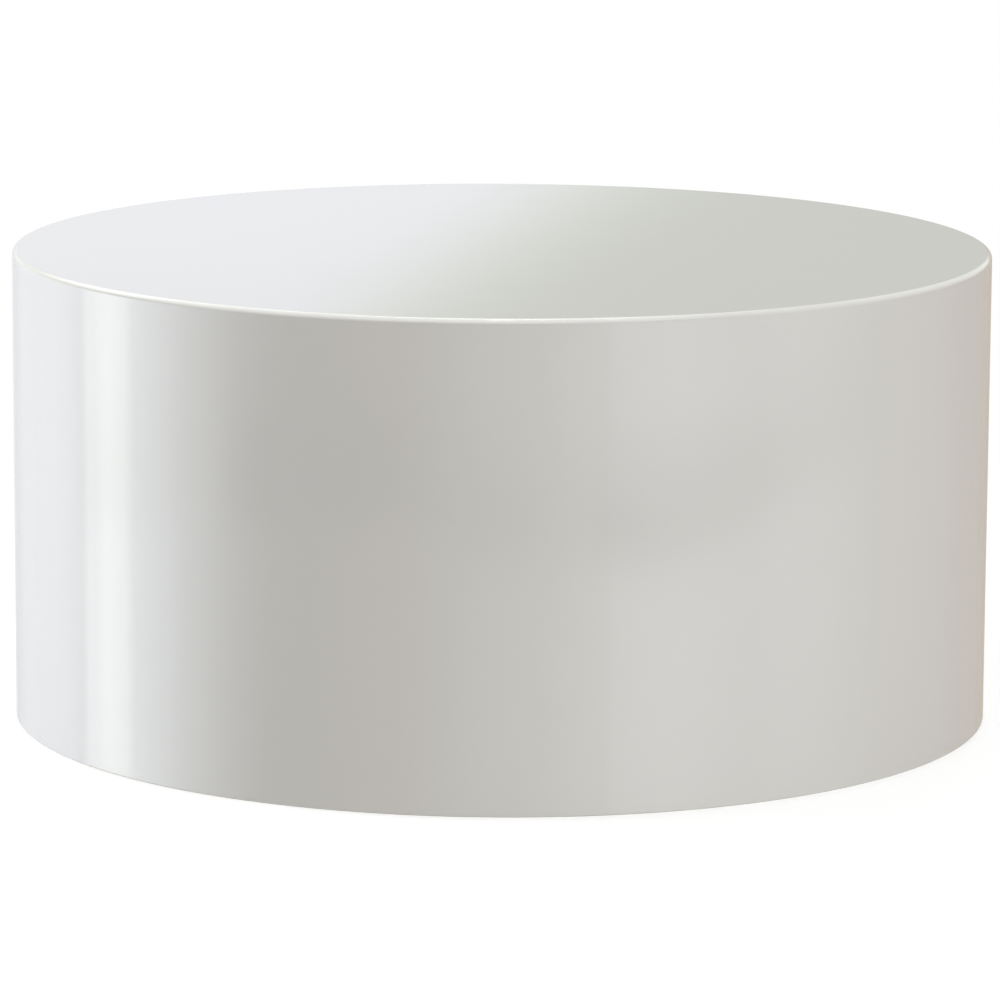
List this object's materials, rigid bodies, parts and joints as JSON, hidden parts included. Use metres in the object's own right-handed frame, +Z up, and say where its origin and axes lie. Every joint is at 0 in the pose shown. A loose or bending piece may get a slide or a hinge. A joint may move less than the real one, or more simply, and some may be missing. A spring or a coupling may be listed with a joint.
{
  "type": "round coffee table",
  "caption": "Round drum coffee table in gloss white lacquer: a flat top on a straight bent-wood wall, framed inside with rings and studs, on screw-in levelling feet.",
  "frame": {"origin": "on the floor at the middle of the drum, under the levelling pads, with the levellers screwed right in", "axes": "+Z up through the drum's axis; -Y is the front that the picture shows; the wall's two joints are at +X and -X"},
  "size_m": [0.9, 0.9, 0.435],
  "materials": {
    "white_lacquer": "board and bent plywood under white high-gloss lacquer",
    "raw_plywood": "bare birch plywood, sanded",
    "raw_pine": "bare planed pine",
    "zinc_plated_steel": "bright zinc plate",
    "black_nylon": "moulded, lightly textured"
  },
  "bodies": {
    "table": {"top_panel": "white_lacquer", "wall_shell_front": "white_lacquer", "wall_shell_back": "white_lacquer", "seam_batten_left": "raw_plywood", "seam_batten_right": "raw_plywood", "base_ring": "raw_plywood", "middle_ring": "raw_plywood", "upper_ring": "raw_plywood", "stud_1": "raw_pine", "stud_2": "raw_pine", "stud_3": "raw_pine", "stud_4": "raw_pine", "stud_5": "raw_pine", "stud_6": "raw_pine", "stud_7": "raw_pine", "stud_8": "raw_pine", "lower_stud_screw_1": "zinc_plated_steel", "lower_stud_screw_2": "zinc_plated_steel", "lower_stud_screw_3": "zinc_plated_steel", "lower_stud_screw_4": "zinc_plated_steel", "lower_stud_screw_5": "zinc_plated_steel", "lower_stud_screw_6": "zinc_plated_steel", "lower_stud_screw_7": "zinc_plated_steel", "lower_stud_screw_8": "zinc_plated_steel", "upper_stud_screw_1": "zinc_plated_steel", "upper_stud_screw_2": "zinc_plated_steel", "upper_stud_screw_3": "zinc_plated_steel", "upper_stud_screw_4": "zinc_plated_steel", "upper_stud_screw_5": "zinc_plated_steel", "upper_stud_screw_6": "zinc_plated_steel", "upper_stud_screw_7": "zinc_plated_steel", "upper_stud_screw_8": "zinc_plated_steel", "top_screw_1": "zinc_plated_steel", "top_screw_2": "zinc_plated_steel", "top_screw_3": "zinc_plated_steel", "top_screw_4": "zinc_plated_steel", "top_screw_5": "zinc_plated_steel", "top_screw_6": "zinc_plated_steel", "top_screw_7": "zinc_plated_steel", "top_screw_8": "zinc_plated_steel", "leveller_insert_1": "zinc_plated_steel", "leveller_insert_2": "zinc_plated_steel", "leveller_insert_3": "zinc_plated_steel", "leveller_insert_4": "zinc_plated_steel"},
    "pad_1": {"leveller_pad_1": "black_nylon"},
    "pad_2": {"leveller_pad_2": "black_nylon"},
    "pad_3": {"leveller_pad_3": "black_nylon"},
    "pad_4": {"leveller_pad_4": "black_nylon"},
    "stem_1": {"leveller_stem_1": "zinc_plated_steel"},
    "stem_2": {"leveller_stem_2": "zinc_plated_steel"},
    "stem_3": {"leveller_stem_3": "zinc_plated_steel"},
    "stem_4": {"leveller_stem_4": "zinc_plated_steel"}
  },
  "joints": [
    {"name": "pad_slide_1", "type": "slide", "parent": "table", "child": "pad_1", "axis": [0, 0, -1], "range_m": [0, 0.0125]},
    {"name": "pad_slide_2", "type": "slide", "parent": "table", "child": "pad_2", "axis": [0, 0, -1], "range_m": [0, 0.0125]},
    {"name": "pad_slide_3", "type": "slide", "parent": "table", "child": "pad_3", "axis": [0, 0, -1], "range_m": [0, 0.0125]},
    {"name": "pad_slide_4", "type": "slide", "parent": "table", "child": "pad_4", "axis": [0, 0, -1], "range_m": [0, 0.0125]},
    {"name": "stem_turn_1", "type": "hinge", "parent": "pad_1", "child": "stem_1", "pos_m": [0.28475, 0.28475, 0], "axis": [0, 0, -1], "range_deg": [0, 3600]},
    {"name": "stem_turn_2", "type": "hinge", "parent": "pad_2", "child": "stem_2", "pos_m": [-0.28475, 0.28475, 0], "axis": [0, 0, -1], "range_deg": [0, 3600]},
    {"name": "stem_turn_3", "type": "hinge", "parent": "pad_3", "child": "stem_3", "pos_m": [-0.28475, -0.28475, 0], "axis": [0, 0, -1], "range_deg": [0, 3600]},
    {"name": "stem_turn_4", "type": "hinge", "parent": "pad_4", "child": "stem_4", "pos_m": [0.28475, -0.28475, 0], "axis": [0, 0, -1], "range_deg": [0, 3600]}
  ],
  "couplings": [
    {"joint": "pad_slide_1", "follows": "stem_turn_1", "m_per_rad": 0.00019894},
    {"joint": "pad_slide_2", "follows": "stem_turn_2", "m_per_rad": 0.00019894},
    {"joint": "pad_slide_3", "follows": "stem_turn_3", "m_per_rad": 0.00019894},
    {"joint": "pad_slide_4", "follows": "stem_turn_4", "m_per_rad": 0.00019894}
  ]
}
